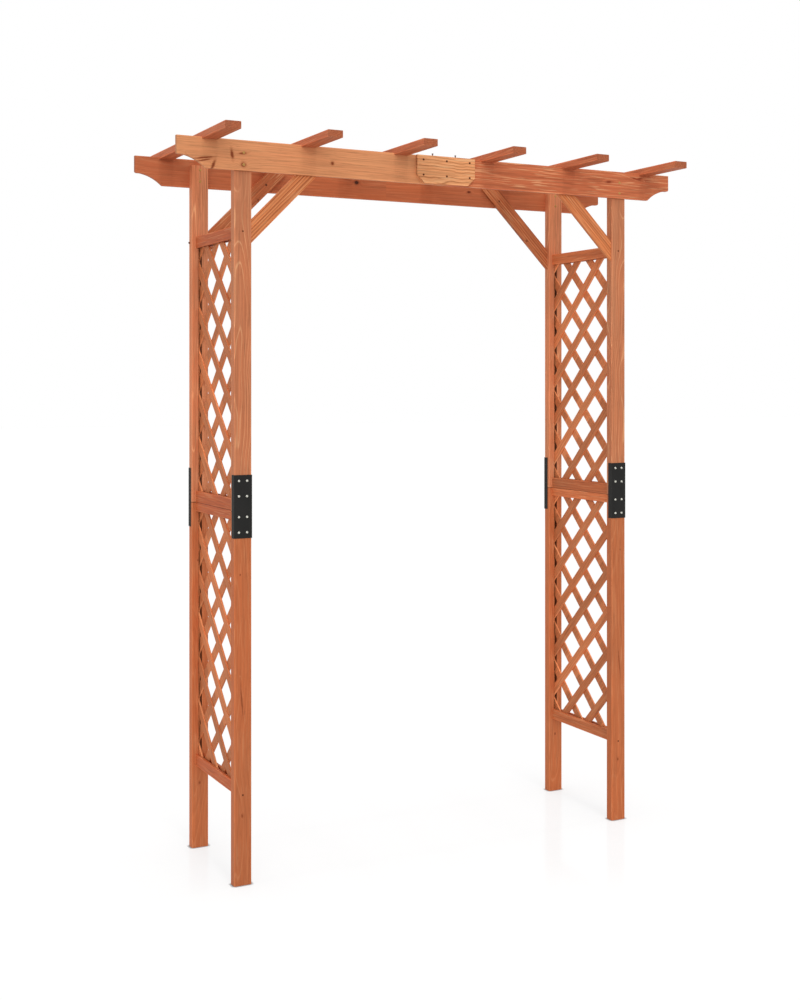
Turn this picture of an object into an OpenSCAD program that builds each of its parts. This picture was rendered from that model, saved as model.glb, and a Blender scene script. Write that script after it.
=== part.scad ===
// Wooden garden arbour: four two-part posts, twin shaped beams, six rafters, knee braces and lattice sides.
// +Z up, +X along the arch, +Y to the back, origin on the ground at the centre of the plan.

/* [Frame] */
// Clear width of the walk-through opening between the posts
opening_w = 1280; // [1100:10:1500]
// Depth over the posts, front face to back face
frame_d = 405.5; // [360:0.5:480]
// Height of the post tops above the ground
post_h = 2143; // [2120:1:2150]
// Height of the butt joint in every post
joint_z = 1085; // [1040:1:1130]
// Width of a post along the arch
post_w = 53; // [48:1:60]
// Thickness of a post from front to back
post_t = 28.8; // [26:0.2:34]
// Radius on the eased long edges of the posts
post_ease = 1.5; // [1:0.5:4]

/* [Beams] */
// Overall length of each beam
beam_len = 1738; // [1700:2:1900]
// Height of each beam
beam_h = 88; // [80:1:92]
// Thickness of each beam
beam_t = 12; // [10:0.5:18]
// Height of the beam tops above the ground
beam_top = 2163; // [2160:0.5:2170]
// Depth of the rebate in the post tops that holds the beams
rebate_d = 4.5; // [2:0.5:8]
// Height of the square nose at each beam end
nose_h = 53; // [45:1:60]
// Level part under the nose before the hollow starts
nose_flat = 15; // [12:1:35]
// Radius of the lower corner of the nose
nose_r = 6; // [3:1:10]
// Length of the hollow cut up into the beam end
cove_w = 72; // [60:1:80]
// Angle at which the hollow leaves the underside of the nose
cove_lift = 8; // [0:1:12]

/* [Rafters] */
// Distance between neighbouring rafters, centre to centre
rafter_pitch = 308; // [290:1:320]
// Length of each rafter from front to back
rafter_len = 804; // [760:2:900]
// Width of each rafter
rafter_w = 47; // [42:1:54]
// Thickness of each rafter
rafter_t = 21; // [16:1:26]
// Depth of the notches that hold the rafters in the beam tops
notch_d = 5; // [3:0.5:8]

/* [Knee braces] */
// Width of each brace board
brace_w = 47.5; // [40:0.5:60]
// Thickness of each brace board
brace_t = 12; // [10:0.5:16]
// Height of the lowest point of a brace where it meets the post
brace_z = 1866; // [1800:2:1900]
// Height of the level cut at the top of a brace
brace_top = 2136; // [2100:1:2140]

/* [Side panels] */
// Height of the bottom, top and upper middle rails
rail_h = 35.5; // [30:0.5:40]
// Height of the lower middle rail
mid_h = 28.5; // [24:0.5:40]
// Thickness of each rail across the panel
rail_t = 28; // [20:1:40]
// Height of the underside of the bottom rail
rail_low = 257.5; // [200:0.5:320]
// Height of the top of the top rail
rail_high = 1918; // [1850:1:1930]
// Width of the lattice slats
slat_w = 27; // [24:0.5:36]
// Thickness of the lattice slats
slat_t = 5; // [4:0.5:6]
// Distance between slats measured up the panel
slat_pitch = 137.2; // [120:0.1:150]
// Height of the lowest slat crossing above the rail under it
slat_start = -29.5; // [-60:0.5:60]
// Width of the groove that holds the slats
groove_w = 11.5; // [11:0.5:15]
// Depth of the groove that holds the slats
groove_d = 12; // [5:0.5:13]

/* [Fittings] */
// Height of the folded steel plate wrapped round each post joint
plate_h = 184; // [160:1:200]
// Thickness of the steel plates
plate_t = 1.5; // [1:0.5:3]
// How far the folded sides of a plate reach back along the post
plate_wrap = 18; // [10:1:26]
// How far the middle of a plate sits above the post joint
plate_rise = 15; // [0:1:30]
// Length of the board covering the joint in each beam
cover_l = 205; // [170:1:220]
// Thickness of the board covering the joint in each beam
cover_t = 10; // [8:0.5:14]
// Size of the cut lower corners of that board
cover_cut = 25; // [15:1:35]

/* [Hidden] */
$fn = 48;

post_x = opening_w / 2 + post_w / 2;
post_y = frame_d / 2 - post_t / 2;
bay_d = frame_d - 2 * post_t;
rafter_x = [for (i = [0 : 5]) (i - 2.5) * rafter_pitch];
beam_y = frame_d / 2 - rebate_d + beam_t / 2;
rafter_z = beam_top - notch_d;
rail_hs = [rail_h, mid_h, rail_h, rail_h];
rail_z = [rail_low, joint_z - mid_h, joint_z, rail_high - rail_h];

// bar along Z with eased long edges, centred in plan, standing on z = 0
module eased_bar(w, d, l, r) {
  linear_extrude(height = l) {
    square([w, d - 2 * r], center = true);
    square([w - 2 * r, d], center = true);
    for (i = [-1, 1], j = [-1, 1]) translate([i * (w / 2 - r), j * (d / 2 - r)]) circle(r = r);
  }
}

// sx is -1 for the left side and 1 for the right, sy is -1 for the front and 1 for the back
module post_piece(sx, sy, z0, z1) {
  difference() {
    translate([sx * post_x, sy * post_y, z0]) eased_bar(post_w, post_t, z1 - z0, post_ease);
    for (i = [0, 2])
      translate([sx * post_x, sy * (bay_d + groove_d) / 2, (rail_z[i + 1] + rail_z[i] + rail_hs[i]) / 2])
        cube([groove_w, groove_d, rail_z[i + 1] - rail_z[i] - rail_hs[i]], center = true);
    translate([sx * post_x, sy * (beam_y - beam_t / 2 + 50), beam_top - beam_h + 100])
      cube([2 * post_w, 100, 200], center = true);
  }
}

module lower_post(sx, sy) { color("#b8734a") post_piece(sx, sy, 0, joint_z); }
module upper_post(sx, sy) { color("#c27d52") post_piece(sx, sy, joint_z, post_h); }

// three-sided plate: a face over the outside of the post and a narrow side folded back along each flank
module joint_plate(sx, sy) {
  reach = plate_t + plate_wrap;
  color("#2f3236") translate([sx * post_x, 0, joint_z + plate_rise]) difference() {
    translate([0, sy * (frame_d / 2 + plate_t - reach / 2), 0])
      cube([post_w + 2 * plate_t, reach, plate_h], center = true);
    translate([0, sy * (frame_d / 2 - 50), 0]) cube([post_w, 100, plate_h + 2], center = true);
  }
}

// outline of the right half of a beam: x from the centre joint, z from the underside
beam_end = beam_len / 2;
beam_step = beam_h - nose_h;
cove_end = 2 * atan(beam_step / cove_w) - cove_lift;
cove_r = cove_w / (sin(cove_end) - sin(cove_lift));
beam_outline = concat(
  [[0, 0]],
  [for (i = [12 : -1 : 0], a = cove_lift + (cove_end - cove_lift) * i / 12)
    [beam_end - nose_flat - cove_r * (sin(a) - sin(cove_lift)),
     beam_step - cove_r * (cos(cove_lift) - cos(a))]],
  [for (a = [0 : 15 : 90])
    [beam_end - nose_r + nose_r * sin(a), beam_step + nose_r - nose_r * cos(a)]],
  [[beam_end, beam_h], [0, beam_h]]
);

module beam_half(sx, sy) {
  color("#c98558") difference() {
    translate([0, sy * beam_y + beam_t / 2, beam_top - beam_h])
      rotate([90, 0, 0]) linear_extrude(height = beam_t)
        polygon([for (p = beam_outline) [sx * p[0], p[1]]]);
    for (x = rafter_x)
      translate([x - rafter_w / 2, sy * beam_y - beam_t, rafter_z])
        cube([rafter_w, 2 * beam_t, notch_d + 5]);
  }
}

module beam_cover(sy) {
  color("#dda26c")
    translate([0, sy * (beam_y + beam_t / 2 + cover_t / 2) + cover_t / 2, beam_top - beam_h + 2])
      rotate([90, 0, 0]) linear_extrude(height = cover_t)
        polygon([[-cover_l / 2 + cover_cut, 0], [cover_l / 2 - cover_cut, 0], [cover_l / 2, cover_cut],
                 [cover_l / 2, beam_h - 2], [-cover_l / 2, beam_h - 2], [-cover_l / 2, cover_cut]]);
}

module rafter(i) {
  color("#c06a45")
    translate([rafter_x[i], rafter_len / 2, rafter_z + rafter_t / 2])
      rotate([90, 0, 0]) eased_bar(rafter_w, rafter_t, rafter_len, 1.5);
}

module brace(sx, sy) {
  x0 = opening_w / 2;
  side = brace_w * sqrt(2);
  rise = brace_top - brace_z;
  color("#d08a5c")
    translate([0, sy * (frame_d / 2 - rebate_d - brace_t / 2) + brace_t / 2, brace_z])
      rotate([90, 0, 0]) linear_extrude(height = brace_t)
        polygon([[sx * x0, 0], [sx * x0, side], [sx * (x0 - rise + side), rise], [sx * (x0 - rise), rise]]);
}

module rail(sx, i) {
  up = i == 0 || i == 2;
  color("#b56e4a") difference() {
    translate([sx * post_x, bay_d / 2, rail_z[i] + rail_hs[i] / 2])
      rotate([90, 0, 0]) eased_bar(rail_t, rail_hs[i], bay_d, 1.5);
    translate([sx * post_x, 0, rail_z[i] + (up ? rail_hs[i] : 0)])
      cube([groove_w, 4 * bay_d, 2 * groove_d], center = true);
  }
}

// slats in one layer, rising at 45 degrees towards +Y when dir is 1 and towards -Y when dir is -1
module slat_layer(dir, x0, x1, z_ref, span) {
  for (k = [-2 : ceil(span / slat_pitch) + 2])
    translate([x0, 0, z_ref + k * slat_pitch]) rotate([dir * 45, 0, 0])
      translate([0, -span, -slat_w / 2]) cube([x1 - x0, 2 * span, slat_w]);
}

module lattice(sx, i) {
  z0 = rail_z[i] + rail_hs[i] - groove_d;
  z1 = rail_z[i + 1] + groove_d;
  z_ref = rail_z[i] + rail_hs[i] + slat_start;
  half = bay_d / 2 + groove_d;
  color("#c27850") translate([sx * post_x, 0, 0]) intersection() {
    translate([-slat_t, -half, z0]) cube([2 * slat_t, 2 * half, z1 - z0]);
    union() {
      slat_layer(1, sx > 0 ? -0.5 : -slat_t, sx > 0 ? slat_t : 0.5, z_ref, z1 - z0);
      slat_layer(-1, sx > 0 ? -slat_t : -0.5, sx > 0 ? 0.5 : slat_t, z_ref, z1 - z0);
      difference() {
        translate([-3, -half, z0]) cube([6, 2 * half, z1 - z0]);
        translate([-4, 1.5 - half, z0 + 1.5]) cube([8, 2 * half - 3, z1 - z0 - 3]);
      }
    }
  }
}

lower_post(-1, -1);  // front_left_post_lower
upper_post(-1, -1);  // front_left_post_upper
lower_post(1, -1);  // front_right_post_lower
upper_post(1, -1);  // front_right_post_upper
lower_post(-1, 1);  // back_left_post_lower
upper_post(-1, 1);  // back_left_post_upper
lower_post(1, 1);  // back_right_post_lower
upper_post(1, 1);  // back_right_post_upper
joint_plate(-1, -1);  // front_left_joint_plate
joint_plate(1, -1);  // front_right_joint_plate
joint_plate(-1, 1);  // back_left_joint_plate
joint_plate(1, 1);  // back_right_joint_plate
beam_half(-1, -1);  // front_beam_left
beam_half(1, -1);  // front_beam_right
beam_half(-1, 1);  // back_beam_left
beam_half(1, 1);  // back_beam_right
beam_cover(-1);  // front_beam_cover
beam_cover(1);  // back_beam_cover
rafter(0);  // rafter_1
rafter(1);  // rafter_2
rafter(2);  // rafter_3
rafter(3);  // rafter_4
rafter(4);  // rafter_5
rafter(5);  // rafter_6
brace(-1, -1);  // front_left_brace
brace(1, -1);  // front_right_brace
brace(-1, 1);  // back_left_brace
brace(1, 1);  // back_right_brace
rail(-1, 0);  // left_bottom_rail
rail(-1, 1);  // left_middle_rail_lower
rail(-1, 2);  // left_middle_rail_upper
rail(-1, 3);  // left_top_rail
rail(1, 0);  // right_bottom_rail
rail(1, 1);  // right_middle_rail_lower
rail(1, 2);  // right_middle_rail_upper
rail(1, 3);  // right_top_rail
lattice(-1, 0);  // left_lower_lattice
lattice(-1, 2);  // left_upper_lattice
lattice(1, 0);  // right_lower_lattice
lattice(1, 2);  // right_upper_lattice
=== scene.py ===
import bpy
import bmesh
import math
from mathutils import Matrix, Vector


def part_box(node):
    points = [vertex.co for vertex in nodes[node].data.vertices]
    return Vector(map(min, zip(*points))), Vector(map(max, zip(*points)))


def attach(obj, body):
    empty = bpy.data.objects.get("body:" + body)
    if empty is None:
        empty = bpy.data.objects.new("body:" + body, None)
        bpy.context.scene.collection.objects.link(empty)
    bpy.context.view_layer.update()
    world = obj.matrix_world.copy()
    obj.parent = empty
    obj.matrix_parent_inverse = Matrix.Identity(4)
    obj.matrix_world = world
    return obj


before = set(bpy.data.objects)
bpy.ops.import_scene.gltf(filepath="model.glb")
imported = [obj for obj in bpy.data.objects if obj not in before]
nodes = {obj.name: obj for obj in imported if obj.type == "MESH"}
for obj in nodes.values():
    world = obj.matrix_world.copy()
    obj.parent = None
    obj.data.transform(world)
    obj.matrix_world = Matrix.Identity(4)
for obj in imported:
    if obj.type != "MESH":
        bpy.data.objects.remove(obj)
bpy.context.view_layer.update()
scene = bpy.context.scene
scene.view_settings.view_transform = "Standard"
ENDS = (("front", -1), ("back", 1))
SIDES = (("left", -1), ("right", 1))
WHITE = (1, 1, 1, 1)


def linear(hex_colour):
    """sRGB hex to linear RGBA"""
    rgb = [int(hex_colour[i:i + 2], 16) / 255 for i in (1, 3, 5)]
    return [c / 12.92 if c <= 0.04045 else ((c + 0.055) / 1.055) ** 2.4 for c in rgb] + [1.0]


def add(tree, kind, *feeds, out=0, **settings):
    """adds one node, gives back one output; feeds fill its live sockets in order, or by name from a dict"""
    node = tree.nodes.new("ShaderNode" + kind)
    for key, value in settings.items():
        setattr(node, key, value)
    by_name = bool(feeds) and isinstance(feeds[0], dict)
    pairs = feeds[0].items() if by_name else zip([s.identifier for s in node.inputs if s.enabled], feeds)
    for key, value in pairs:
        socket = next(s for s in node.inputs if key == (s.name if by_name else s.identifier))
        if isinstance(value, bpy.types.NodeSocket):
            tree.links.new(value, socket)
        elif value is not None:
            socket.default_value = value
    live = [s for s in node.outputs if s.enabled]
    return node.outputs[out] if isinstance(out, str) else live[out] if live else None


def material(name):
    m = bpy.data.materials.new(name)
    m.use_nodes = True
    m.node_tree.nodes.clear()
    return m, m.node_tree


def finish_with(tree, colour, roughness, height, bump_mm, strength, **fixed):
    """closes a material with one Principled shader and a bump worked out in millimetres"""
    normal = add(tree, "Bump", {"Height": height, "Strength": strength, "Distance": bump_mm / 1000})
    sockets = {"Base Color": colour, "Roughness": roughness, "Normal": normal}
    sockets.update({key.replace("_", " "): value for key, value in fixed.items()})
    add(tree, "OutputMaterial", add(tree, "BsdfPrincipled", sockets))


# ---------------------------------------------------------------- stained fir
# China fir, planed and dipped in a thin cedar-red garden stain. The soft early wood drinks the stain and goes
# orange-red, the hard late wood drinks less: it shows as thin pale lines on flat-sawn faces and as brown
# lines where the board is nearer the quarter. Small branch knots and resin flecks stay dark.

def fir(tree, grain, turn, seed, early, late, ring_mm, heart_mm, dark_lines, pale_lines, streaks,
        wander_mm=50, bends=1.1, flecks=0.85, knots=(), highlit_arris_mm=None, groove=None, seam=None, tone=1.0,
        red="#b5592c", knot="#6a2c10", knot_halo="#95492a"):
    """wires the whole pattern. grain is the place in board space, in metres, X along the board. The edge size
    is half the board's two cross sizes and places a painted highlight on the long edges, the groove its side
    and half length for painted shade inside it, the seam its axis, place and shade"""
    ramp = {"interpolation_type": "SMOOTHSTEP"}
    shifted = add(tree, "VectorMath", grain, (3.1 * seed + 0.7, 1.7 * seed, 0.9 * seed))
    along, deep, across = (add(tree, "SeparateXYZ", grain, out=i) for i in range(3))

    # slow and quick waves in the wood: waves per metre along the grain and across it, and how fine they get
    waves = {}
    for name, step, gap, detail in (("drift", bends, 0.5, 2), ("ragged", 130, 260, 2), ("waver", 4, 40, 2),
                                    ("patches", 2.6, 24, 2), ("dashes", 9, 340, 1), ("fibre", 8, 330, 4),
                                    ("streak", 3.2, 95, 3), ("dark", 9, 230, 2), ("fleck", 30, 520, 1),
                                    ("uneven", 2, 13, 3)):
        place = add(tree, "VectorMath", shifted, (step, gap, gap), operation="MULTIPLY")
        waves[name] = add(tree, "TexNoise", place, 1.0, detail, 0.55, out=1 if name == "drift" else 0)

    # distance from the heart of the tree, which wanders slowly along the board and draws the long arches
    drift = add(tree, "VectorMath", waves["drift"], (0.5, 0.5, 0.5), operation="SUBTRACT")
    drift = add(tree, "VectorMath", drift, (0, wander_mm / 500, wander_mm / 500), operation="MULTIPLY")
    radius = add(tree, "VectorMath", grain, (0, heart_mm[0] / 1000, heart_mm[1] / 1000), operation="SUBTRACT")
    radius = add(tree, "VectorMath", radius, (0.04, 1, 1), operation="MULTIPLY")
    radius = add(tree, "VectorMath", radius, drift)
    radius = add(tree, "VectorMath", radius, operation="LENGTH")

    # knots: each is an ellipse with its own lean, and the rings part round it
    halo = None
    for along_mm, up_mm, length, width, lean in knots:
        away = add(tree, "Mapping", grain, (along_mm / 1000, 0, up_mm / 1000), (0, -math.radians(lean), 0),
                   (length / 2000, 9, width / 2000), vector_type="TEXTURE")
        away = add(tree, "VectorMath", away, operation="LENGTH")
        halo = away if halo is None else add(tree, "Math", halo, away, operation="MINIMUM")
    if halo is not None:
        ragged = add(tree, "Math", waves["ragged"], 0.9, -0.45, operation="MULTIPLY_ADD")
        halo = add(tree, "Math", halo, ragged)
        radius = add(tree, "Math", radius, add(tree, "MapRange", halo, 0.6, 3.2, 0.007, 0.0, **ramp))

    # growth rings with a slight waver; no two are the same width or depth of colour
    waver = add(tree, "Math", waves["waver"], 0.9, operation="MULTIPLY")
    ring = add(tree, "Math", radius, 1000 / ring_mm, waver, operation="MULTIPLY_ADD")
    weight = add(tree, "TexWhiteNoise", add(tree, "Math", ring, operation="FLOOR"), noise_dimensions="1D")
    part = add(tree, "Math", ring, operation="FRACT")
    brown = add(tree, "Math", add(tree, "MapRange", part, 0.45, 0.88, 0.0, 1.0, **ramp),
                add(tree, "MapRange", part, 0.9, 1.0, 1.0, 0.0, **ramp), operation="MULTIPLY")
    brown = add(tree, "Math", brown, add(tree, "MapRange", weight, 0.0, 1.0, 0.3 * dark_lines, dark_lines),
                operation="MULTIPLY")
    pale = add(tree, "Math", add(tree, "MapRange", part, 0.02, 0.1, 0.0, 1.0, **ramp),
               add(tree, "MapRange", part, 0.1, 0.23, 1.0, 0.0, **ramp), operation="MULTIPLY")
    for wave, low, high, most in ((weight, 0.1, 0.7, 0.8), (waves["patches"], 0.38, 0.56, 1.0)):
        shown = add(tree, "MapRange", wave, low, high, 0.0, most, **ramp)
        pale = add(tree, "Math", pale, shown, operation="MULTIPLY")
    dashes = add(tree, "MapRange", waves["dashes"], 0.58, 0.66, 0.0, flecks, **ramp)
    pale = add(tree, "Math", pale, dashes, operation="MAXIMUM")
    pale = add(tree, "Math", pale, pale_lines, operation="MULTIPLY")

    # what lightens and darkens the board: fibres 3 mm apart, streaks 10 mm apart, dark streaks, resin flecks,
    # uneven stain, and the cut ends, which soak up the stain
    facing = add(tree, "VectorRotate", add(tree, "TexCoord", out="Normal"), None, turn,
                 rotation_type="EULER_XYZ", invert=True)
    facing = add(tree, "Math", add(tree, "SeparateXYZ", facing), operation="ABSOLUTE")
    shades = [tone]
    for wave, low, high, least, most in ((waves["fibre"], 0.25, 0.75, 1 - 0.14 * streaks, 1 + 0.13 * streaks),
                                         (waves["streak"], 0.3, 0.7, 1 - 0.10 * streaks, 1 + 0.08 * streaks),
                                         (waves["dark"], 0.56, 0.7, 1.0, 1 - 0.24 * streaks),
                                         (waves["fleck"], 0.66, 0.74, 1.0, 0.8),
                                         (waves["uneven"], 0.3, 0.7, 0.93, 1.07),
                                         (facing, 0.8, 0.98, 1.0, 0.72)):
        shades.append(add(tree, "MapRange", wave, low, high, least, most, **ramp))
    if highlit_arris_mm:
        # painted highlight: the eased long edges are lightened where their rounding would catch the light
        near = [add(tree, "MapRange", add(tree, "Math", place, operation="ABSOLUTE"), reach / 1000 - 0.005,
                    reach / 1000, 0.0, 1.0, **ramp) for place, reach in zip((deep, across), highlit_arris_mm)]
        near = add(tree, "Math", *near, operation="MULTIPLY")
        shades.append(add(tree, "MapRange", near, 0.05, 0.6, 1.0, 1.16, **ramp))
    if seam:
        # a dark line where two pieces butt together
        axis, butt, shade = seam
        gap = add(tree, "Math", (along, deep, across)[axis], butt, operation="SUBTRACT")
        gap = add(tree, "Math", gap, operation="ABSOLUTE")
        shades.append(add(tree, "MapRange", gap, 0.0009, 0.0024, shade, 1.0, **ramp))
    if groove:
        # painted shade: the slat groove, 12 mm wide and cut to the middle of the board, is darkened to a
        # quarter in place of the shadow inside it
        side, reach = groove
        depth = add(tree, "Math", deep, side, operation="MULTIPLY")
        sideways = add(tree, "Math", across, operation="ABSOLUTE")
        lengthways = add(tree, "Math", along, operation="ABSOLUTE")
        in_groove_shadow = 1.0
        for place, low, high in ((sideways, -1, 0.006), (depth, 0.001, 0.0142), (lengthways, -1, reach)):
            for limit, test in ((low, "GREATER_THAN"), (high, "LESS_THAN")):
                within = add(tree, "Math", place, limit, operation=test)
                in_groove_shadow = add(tree, "Math", in_groove_shadow, within, operation="MULTIPLY")
        shades.append(add(tree, "Math", in_groove_shadow, -0.75, 1.0, operation="MULTIPLY_ADD"))
    light = 1.0
    for shade in shades:
        light = add(tree, "Math", light, shade, operation="MULTIPLY")

    # early wood, reddened in patches, then the brown and the pale lines over it
    colour = linear(early)
    patchy = add(tree, "MapRange", waves["uneven"], 0.35, 0.7, 0.0, 0.35, **ramp)
    for amount, tint in ((patchy, red), (brown, late), (pale, "#f3bd8a")):
        colour = add(tree, "Mix", amount, colour, linear(tint), data_type="RGBA")
    colour = add(tree, "VectorMath", colour, light, operation="SCALE")
    if halo is not None:
        for low, high, most, tint in ((0.9, 2.0, 0.45, knot_halo), (0.45, 1.25, 0.9, knot)):
            amount = add(tree, "MapRange", halo, low, high, most, 0.0, **ramp)
            colour = add(tree, "Mix", amount, colour, linear(tint), data_type="RGBA")
    height = add(tree, "Math", waves["fibre"], 0.7, brown, operation="MULTIPLY_ADD")
    finish_with(tree, colour, add(tree, "MapRange", brown, 0.0, 1.0, 0.64, 0.5), height, 0.8, 0.3,
                Specular_IOR_Level=0.22)


TURN = {"x": (0, 0, 0), "y": (0, 0, math.pi / 2), "z": (0, -math.pi / 2, 0),
        "up_right": (0, -math.pi / 4, 0), "up_left": (0, math.pi / 4, 0)}


def board(node, runs, tones, **cut):
    """gives one board its own cut of fir, with the grain running along the board"""
    low, high = (Vector(v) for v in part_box(node))
    size = (high - low) * 500
    m, tree = material("stained_fir_" + node)
    grain = add(tree, "Mapping", add(tree, "TexCoord", out="Object"), (low + high) / 2, TURN[runs],
                vector_type="TEXTURE")
    highlit_arris = {"x": (size.y, size.z), "y": (size.x, size.z), "z": (size.y, size.x)}.get(runs)
    fir(tree, grain, TURN[runs], early=tones[0], late=tones[1], highlit_arris_mm=highlit_arris, **cut)
    nodes[node].material_slots[0].material = m


# early wood and late wood of each group of boards
UPPER_POST = ("#c47d57", "#9c5432")
LOWER_POST = ("#be6b40", "#9d532d")
BEAM_TAN = ("#da9565", "#ae683c")
BEAM_RED = ("#c86f47", "#9a4d2b")
BACK_BEAM = ("#bf6942", "#9a4f2d")
COVER = ("#e9a06b", "#a26036")
RAFTER = ("#c86e48", "#984a29")
BRACE = ("#da834e", "#9a4b26")
PLAIN_BRACE = ("#be6c43", "#9d502b")
RAIL = {"left": ("#b55b32", "#90411f"), "right": ("#ba683e", "#944a28")}
SLAT = ("#e88b57", "#a9582f")

POST_TONES = {"front_left": (0.98, 0.97), "front_right": (0.98, 1.0), "back_left": (1.17, 1.08),
              "back_right": (1.2, 1.13)}
# half the length of an upper and of a lower post, which is where the two butt together
UPPER_HALF = 0.529
LOWER_HALF = 0.5425
BUTT_SHADE = 0.42
for i, ((end, sy), (side, sx)) in enumerate((end, side) for end in ENDS for side in SIDES):
    post = end + "_" + side
    upper_tone, lower_tone = POST_TONES[post]
    # the upper posts of a pair came off the same log, so their arches match in mirror image
    board(post + "_post_upper", "z", UPPER_POST, seed=2 + i // 2, ring_mm=6.0,
          heart_mm=(-sy * 14, -sx * 18), dark_lines=0.16, pale_lines=0.5, flecks=0.12, streaks=0.9,
          wander_mm=36, bends=2.4, groove=(-sy, 0.52), seam=(0, -UPPER_HALF, BUTT_SHADE), tone=upper_tone)
    board(post + "_post_lower", "z", LOWER_POST, seed=6 + i, ring_mm=6.0,
          heart_mm=(-sy * 60, 35 - 20 * (i % 2)), dark_lines=0.25, pale_lines=0.15, streaks=0.5,
          groove=(-sy, 0.53), seam=(0, LOWER_HALF, BUTT_SHADE), tone=lower_tone, knot="#8a431f",
          knots=((360, -sx * 8, 5, 4, 0), (-340, 2, 9, 6, 0), (-10, -sx * 3, 75, 4, 5)))

# knots are given from the middle of the board, in millimetres and degrees: along it, up it, length, width
# and lean
board("front_beam_left", "x", BEAM_TAN, seed=11, ring_mm=5.0, heart_mm=(45, -75), dark_lines=0.3,
      pale_lines=0.1, streaks=0.85, wander_mm=25, red="#bf6f46", knot="#7a3210", knot_halo="#a85f37",
      knots=((-268, 1, 30, 9, 100), (-234, 6, 24, 7, 8), (-233, -27, 16, 14, 0), (50, -3, 10, 11, 0),
             (-325, -34, 28, 8, 68), (-352, -15, 62, 5, 8), (-352, -22, 44, 4, 12), (-385, -28, 44, 4, -42)))
board("front_beam_right", "x", BEAM_RED, seed=12, ring_mm=6.5, heart_mm=(-60, 8), dark_lines=0.4,
      pale_lines=0.55, streaks=1.1, wander_mm=30, red="#b05331", knot="#7d2c10",
      knots=((188, 8, 22, 7, 5), (315, 27, 20, 6, 10), (300, 25, 34, 4, -12)))
board("back_beam_left", "x", BACK_BEAM, seed=13, ring_mm=7.0, heart_mm=(60, 40), dark_lines=0.35,
      pale_lines=0.1, streaks=0.5, wander_mm=30, knots=((324, 10, 17, 14, 0),), knot="#1c0700")
board("back_beam_right", "x", BACK_BEAM, seed=14, ring_mm=7.0, heart_mm=(-60, 30), dark_lines=0.35,
      pale_lines=0.1, streaks=0.5, wander_mm=30, knots=((-112, 5, 15, 8, 0),), knot="#5a1b06")
for i, (end, sy) in enumerate(ENDS):
    board(end + "_beam_cover", "x", COVER, seed=17 + i, ring_mm=9.0, heart_mm=(sy * -16, -46),
          dark_lines=0.85, pale_lines=0.7, streaks=1.0, wander_mm=26, bends=7, red="#cf8450")
for i in range(6):
    board("rafter_%d" % (i + 1), "y", RAFTER, seed=21 + i, ring_mm=6.0, heart_mm=(30 - 12 * i, 45 - 9 * i),
          dark_lines=0.5, pale_lines=0.2, streaks=0.85, wander_mm=40)
for name, runs, tones, seed, dark in (("front_left", "up_right", BRACE, 31, 0.95),
                                      ("front_right", "up_left", BRACE, 32, 0.85),
                                      ("back_left", "up_right", PLAIN_BRACE, 33, 0.25),
                                      ("back_right", "up_left", ("#c46f42", "#823c1d"), 34, 0.9)):
    board(name + "_brace", runs, tones, seed=seed, ring_mm=8.0, heart_mm=(10, -95), dark_lines=dark,
          pale_lines=0.5, streaks=1.0, wander_mm=12, knots=((60, 6, 7, 5, 0),) if "back" in name else ())
# painted light: the right-hand rails sit in the shade inside the arbour and their tones are raised to make up
# for it
RAIL_TONES = {"left": (1.17, 1.08, 1.0, 0.97), "right": (1.1, 1.45, 1.02, 1.27)}
RAIL_PARTS = ("bottom_rail", "middle_rail_lower", "middle_rail_upper", "top_rail")
# the two middle rails meet face to face, at half the height of each
RAIL_SEAMS = (None, (2, 0.01425, 0.6), (2, -0.01775, 0.6), None)
for i, (side, sx) in enumerate(SIDES):
    for j, (part, seam, tone) in enumerate(zip(RAIL_PARTS, RAIL_SEAMS, RAIL_TONES[side])):
        board(side + "_" + part, "y", RAIL[side], seed=41 + 4 * i + j, ring_mm=6.0,
              heart_mm=(40 * sx, 50 - 18 * j), dark_lines=0.5, pale_lines=0.2, streaks=0.8, wander_mm=20,
              tone=tone, seam=seam)

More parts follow.
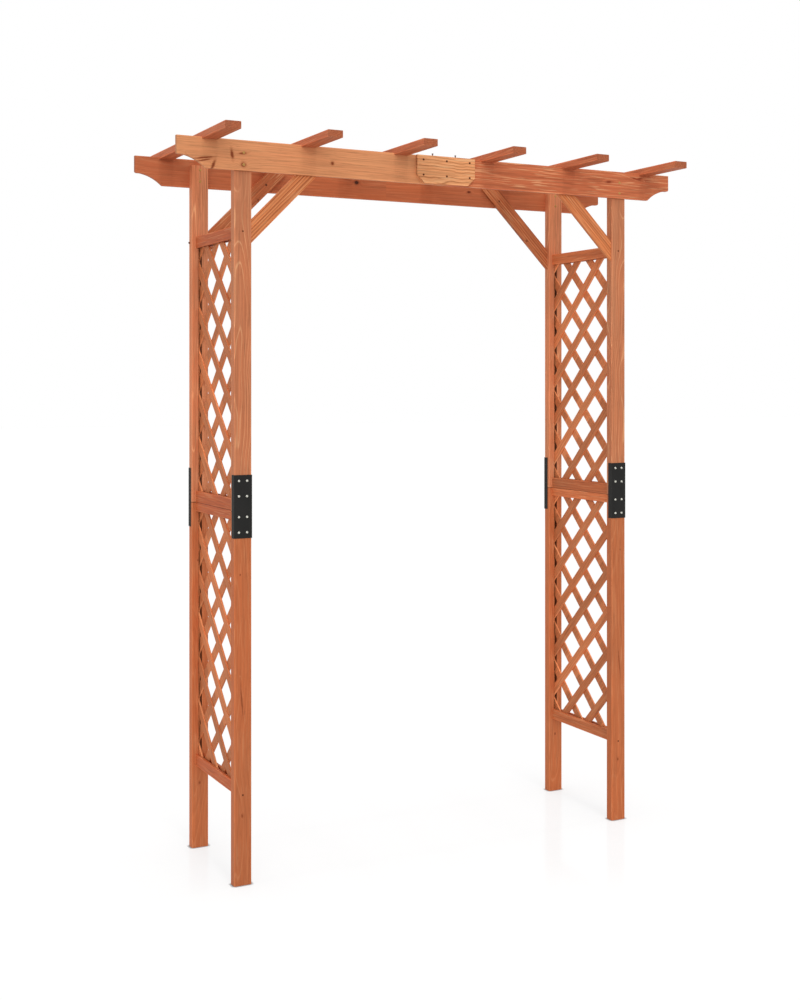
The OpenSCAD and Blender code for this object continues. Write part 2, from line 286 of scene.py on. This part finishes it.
# ---------------------------------------------------------------- lattice
# Thin sawn slats in two crossed layers: the grain follows each layer and every slat has its own tone.
# They are 137.2 mm apart up the panel, and the lowest crossing lies a little under the top of the rail.
SLAT_STEP = 0.1372 / math.sqrt(2)
RAIL_TOP = {"lower": 0.293, "upper": 1.1205}
CROSSING_DROP = 0.0295
for i, (side, level) in enumerate((side, level) for side, _ in SIDES for level in RAIL_TOP):
    name = side + "_" + level + "_lattice"
    low, high = (Vector(v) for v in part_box(name))
    middle = (low.x + high.x) / 2
    crossing = Vector((middle, 0, RAIL_TOP[level] - CROSSING_DROP))
    m, tree = material("stained_fir_" + name)
    here = add(tree, "TexCoord", out="Object")
    layers = []
    for lean in (1, -1):
        p = add(tree, "Mapping", here, crossing, (lean * math.pi / 4, 0, 0), vector_type="TEXTURE")
        thick, long, wide = (add(tree, "SeparateXYZ", p, out=k) for k in range(3))
        number = add(tree, "Math", wide, SLAT_STEP, operation="DIVIDE")
        number = add(tree, "Math", add(tree, "Math", number, operation="ROUND"), 37.0 * i + 11.0 * lean)
        layers.append((add(tree, "CombineXYZ", long, wide, thick), number))
    outer = add(tree, "Math", add(tree, "SeparateXYZ", here), middle, operation="SUBTRACT")
    outer = add(tree, "Math", outer, 1.0 if middle > 0 else -1.0, operation="MULTIPLY")
    outer = add(tree, "Math", outer, 0.0, operation="GREATER_THAN")
    grain = add(tree, "Mix", outer, layers[1][0], layers[0][0], data_type="VECTOR")
    number = add(tree, "Mix", outer, layers[1][1], layers[0][1], data_type="FLOAT")
    shift = add(tree, "TexWhiteNoise", number, noise_dimensions="1D", out="Color")
    shift = add(tree, "VectorMath", shift, (4.0, 0.0, 0.0), operation="MULTIPLY")
    tone = add(tree, "TexWhiteNoise", number, noise_dimensions="1D")
    tone = add(tree, "MapRange", tone, 0.0, 1.0, 0.82, 1.18)
    # painted light: the right-hand panels are lightened to make up for the shade inside the arbour
    if middle > 0:
        tone = add(tree, "Math", tone, 1.15, operation="MULTIPLY")
    fir(tree, add(tree, "VectorMath", grain, shift), (0, 0, 0), seed=51 + i, early=SLAT[0], late=SLAT[1],
        ring_mm=7.0, heart_mm=(12, 30), dark_lines=0.4, pale_lines=0.3, streaks=0.9, wander_mm=20, tone=tone)
    nodes[name].material_slots[0].material = m

# ---------------------------------------------------------------- painted joint plates
# Folded mild steel with a satin black powder coat: faintly pebbled, a touch worn along the edges.
for post in POST_TONES:
    name = post + "_joint_plate"
    low, high = (Vector(v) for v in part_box(name))
    m, tree = material("black_powder_coat_" + post)
    here = add(tree, "TexCoord", out="Object")
    pebble = add(tree, "TexNoise", here, 900.0, 2.0)
    smear = add(tree, "TexNoise", here, 22.0, 3.0)
    colour = add(tree, "Mix", smear, linear("#222221"), linear("#2e2d2c"), data_type="RGBA")
    local = add(tree, "VectorMath", here, (low + high) / 2, operation="SUBTRACT")
    rim = 0.0
    for axis, reach in ((0, (high.x - low.x) / 2), (2, (high.z - low.z) / 2)):
        near = add(tree, "Math", add(tree, "SeparateXYZ", local, out=axis), operation="ABSOLUTE")
        near = add(tree, "MapRange", near, reach - 0.0015, reach - 0.0002, 0.0, 1.0)
        rim = add(tree, "Math", rim, near, operation="MAXIMUM")
    worn = add(tree, "Math", smear, 0.3, operation="MULTIPLY")
    worn = add(tree, "Math", worn, rim, operation="MULTIPLY")
    colour = add(tree, "Mix", worn, colour, linear("#4a4a49"), data_type="RGBA")
    finish_with(tree, colour, add(tree, "MapRange", smear, 0.0, 1.0, 0.55, 0.7), pebble, 0.4, 0.25,
                Specular_IOR_Level=0.08)
    nodes[name].material_slots[0].material = m


# ---------------------------------------------------------------- screws
def metal(name, pale, dull, metallic, rough_low, rough_high):
    m, tree = material(name)
    stain = add(tree, "TexNoise", add(tree, "TexCoord", out="Object"), 420.0, 3.0)
    colour = add(tree, "Mix", stain, linear(pale), linear(dull), data_type="RGBA")
    finish_with(tree, colour, add(tree, "MapRange", stain, 0.0, 1.0, rough_low, rough_high), stain, 0.2, 0.2,
                Metallic=metallic, Specular_IOR_Level=0.2)
    return m


# bright zinc plate gives the pale heads on the black plates; the wood screws are yellow-passivated zinc that
# has dulled to olive, or brown-coated deck screws in the rails, braces, joint covers and beam tops
bright_zinc = metal("bright_zinc", "#e2e1d8", "#b4b2a6", 0.55, 0.3, 0.5)
olive_zinc = metal("olive_zinc", "#dcae66", "#7a5227", 0.3, 0.45, 0.65)
brown_screw = metal("brown_coated_screw", "#71391b", "#3a1c0a", 0.0, 0.55, 0.75)


def screw_heads(name, places, outward, head_mm, dome_mm, finish, shank_mm=0.0):
    """pan heads with a sunk drive, all on one face. places are where the heads, or bare shanks, meet it"""
    bm = bmesh.new()
    r, h, rise = head_mm / 2000, dome_mm / 1000, shank_mm / 1000
    profile = [(0.0, 0.35 * h), (0.3 * r, 0.35 * h), (0.42 * r, 0.98 * h), (0.8 * r, 0.7 * h), (r, 0.0)]
    if rise:
        profile += [(0.5 * r, 0.0), (0.5 * r, -rise)]
    outward = Vector(outward)
    aside = outward.orthogonal().normalized()
    for at in map(Vector, places):
        rim = [bm.verts.new(at + aside * x + outward * (z + rise)) for x, z in profile]
        edges = [bm.edges.new(pair) for pair in zip(rim, rim[1:])]
        bmesh.ops.spin(bm, geom=rim + edges, cent=at, axis=outward, angle=2 * math.pi, steps=10,
                       use_merge=True)
    bmesh.ops.remove_doubles(bm, verts=bm.verts, dist=1e-5)
    bmesh.ops.recalc_face_normals(bm, faces=bm.faces)
    for face in bm.faces:
        face.smooth = True
    mesh = bpy.data.meshes.new(name)
    bm.to_mesh(mesh)
    bm.free()
    mesh.materials.append(finish)
    piece = bpy.data.objects.new(name, mesh)
    scene.collection.objects.link(piece)
    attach(piece, "root")


# distances from the middle of the arbour: posts across, and faces front to back
POST_X = 0.6665
POST_FLANK = POST_X + 0.0265
POST_INNER_FACE = 0.17395
BRACE_FACE = 0.18625
POST_FACE = 0.20275
BEAM_MIDDLE = 0.204
PLATE_FACE = 0.20425
BEAM_FACE = 0.21025
COVER_FACE = 0.22025
# heights
PLATE_MIDDLE = 1.1
BEAM_TOP = 2.163

for end, sy in ENDS:
    for side, sx in SIDES:
        post, x = end + "_" + side, sx * POST_X
        # four rows of two in each plate, 25 mm apart across and 45, 60 and 45 mm apart down
        holes = [(x + dx, sy * PLATE_FACE, PLATE_MIDDLE + dz) for dz in (-0.075, -0.03, 0.03, 0.075)
                 for dx in (-0.0125, 0.0125)]
        screw_heads(post + "_plate_screws", holes, (0, sy, 0), 7.5, 2.2, bright_zinc)
        for fixing, face, facing, heights, head_mm, dome_mm, finish in (
                ("rail", POST_FACE, sy, (1.9, 0.2625), 5.5, 1.6, brown_screw),
                ("beam", BEAM_FACE, sy, (2.127, 2.092), 9.0, 1.4, olive_zinc),
                ("post", POST_INNER_FACE, -sy, (2.1285, 2.0925), 8.5, 1.4, olive_zinc)):
            screw_heads(post + "_" + fixing + "_screws", [(x, sy * face, z) for z in heights],
                        (0, facing, 0), head_mm, dome_mm, finish)
        screw_heads(post + "_brace_screw", [(sx * 0.439, sy * BRACE_FACE, 2.098)], (0, -sy, 0), 7.0, 1.4,
                    brown_screw)
    rows = [(x, sy * COVER_FACE, z) for x in (-0.0805, 0.0015, 0.0835) for z in (2.149, 2.1023)]
    screw_heads(end + "_cover_screws", rows, (0, sy, 0), 7.0, 1.2, brown_screw)
    # two long screws left standing proud of the beam top, either side of the joint
    standing = [(x, sy * BEAM_MIDDLE, BEAM_TOP) for x in (-0.0405, 0.0405)]
    screw_heads(end + "_beam_top_screws", standing, (0, 0, 1), 6.5, 2.6, brown_screw, shank_mm=7.0)
for side, sx in SIDES:
    # the top rail is also nailed through the flank of each back post
    screw_heads("back_%s_flank_nail" % side, [(sx * POST_FLANK, 0.197, 1.9005)], (sx, 0, 0), 7.0, 4.5,
                brown_screw)

# ---------------------------------------------------------------- floor, light and camera
bm = bmesh.new()
bmesh.ops.create_grid(bm, x_segments=1, y_segments=1, size=40)
floor_mesh = bpy.data.meshes.new("studio_floor")
bm.to_mesh(floor_mesh)
bm.free()
floor = bpy.data.objects.new("studio_floor", floor_mesh)
scene.collection.objects.link(floor)
m, tree = material("satin_white_floor")
direct = add(tree, "Math", add(tree, "LightPath", out="Is Camera Ray"),
             add(tree, "LightPath", out="Is Glossy Ray"), operation="MAXIMUM")
bright = add(tree, "AddShader", add(tree, "BsdfDiffuse", (0.23, 0.23, 0.23, 1)),
             add(tree, "Emission", WHITE, 0.749))
# a faint reflection that dies away in front of the arbour, towards the front left
shine_grows = (0.457, 0.889, 0)
near = add(tree, "VectorMath", add(tree, "TexCoord", out="Object"), shine_grows, operation="DOT_PRODUCT")
near = add(tree, "MapRange", near, -0.62, -0.3, 0.0, 0.055)
shine = add(tree, "BsdfGlossy", {"Color": WHITE, "Roughness": 0.12})
bright = add(tree, "MixShader", near, bright, shine)
# painted contact shadow: an occlusion mask darkens the floor to a narrow dark line where a foot meets it
contact_shadow = add(tree, "AmbientOcclusion", {"Distance": 0.0105}, out="AO", samples=8)
contact_shadow = add(tree, "Math", contact_shadow, 3.0, operation="POWER")
bright = add(tree, "MixShader", contact_shadow, add(tree, "BsdfDiffuse", (0.12, 0.105, 0.095, 1)), bright)
bright = add(tree, "MixShader", direct, add(tree, "BsdfDiffuse", (0.55, 0.55, 0.55, 1)), bright)
add(tree, "OutputMaterial", bright)
floor_mesh.materials.append(m)

world = bpy.data.worlds.new("studio")
scene.world = world
world.use_nodes = True
tree = world.node_tree
tree.nodes.clear()
direct = 0.0
for ray in ("Is Camera Ray", "Is Glossy Ray", "Is Transmission Ray"):
    direct = add(tree, "Math", direct, add(tree, "LightPath", out=ray), operation="MAXIMUM")
# what is seen directly is pure white, and the light it gives is softer
add(tree, "OutputWorld", add(tree, "MixShader", direct, add(tree, "Background", WHITE, 0.56),
                             add(tree, "Background", WHITE, 1.0)))

# broad distant lamps: one straight overhead, three high in front, one wide fill and one low at each side
for name, towards, strength, spread in (("overhead", (0, 0, -1), 1.0, 12),
                                        ("high_front_1", (0.02, 0.3, -1.0), 0.2, 10),
                                        ("high_front_2", (0.02, 0.6, -1.0), 0.2, 10),
                                        ("high_front_3", (0.02, 1.0, -1.0), 0.2, 10),
                                        ("front_fill", (0.45, 0.86, -0.25), 1.15, 40),
                                        ("left_fill", (1.0, 0, -0.3), 0.4, 6),
                                        ("right_fill", (-1.0, 0, -0.3), 0.35, 6)):
    lamp = bpy.data.lights.new(name, "SUN")
    lamp.energy = strength
    lamp.angle = math.radians(spread)
    holder = bpy.data.objects.new(name, lamp)
    holder.rotation_euler = Vector(towards).to_track_quat("-Z", "Y").to_euler()
    scene.collection.objects.link(holder)

camera = bpy.data.cameras.new("camera")
camera.sensor_width = 36
camera.lens = 50
camera.shift_y = -0.117
view = bpy.data.objects.new("camera", camera)
view.location = (-2.104, -3.998, 1.459)
view.rotation_euler = (math.pi / 2, 0, math.radians(-27.199))
scene.collection.objects.link(view)
scene.camera = view
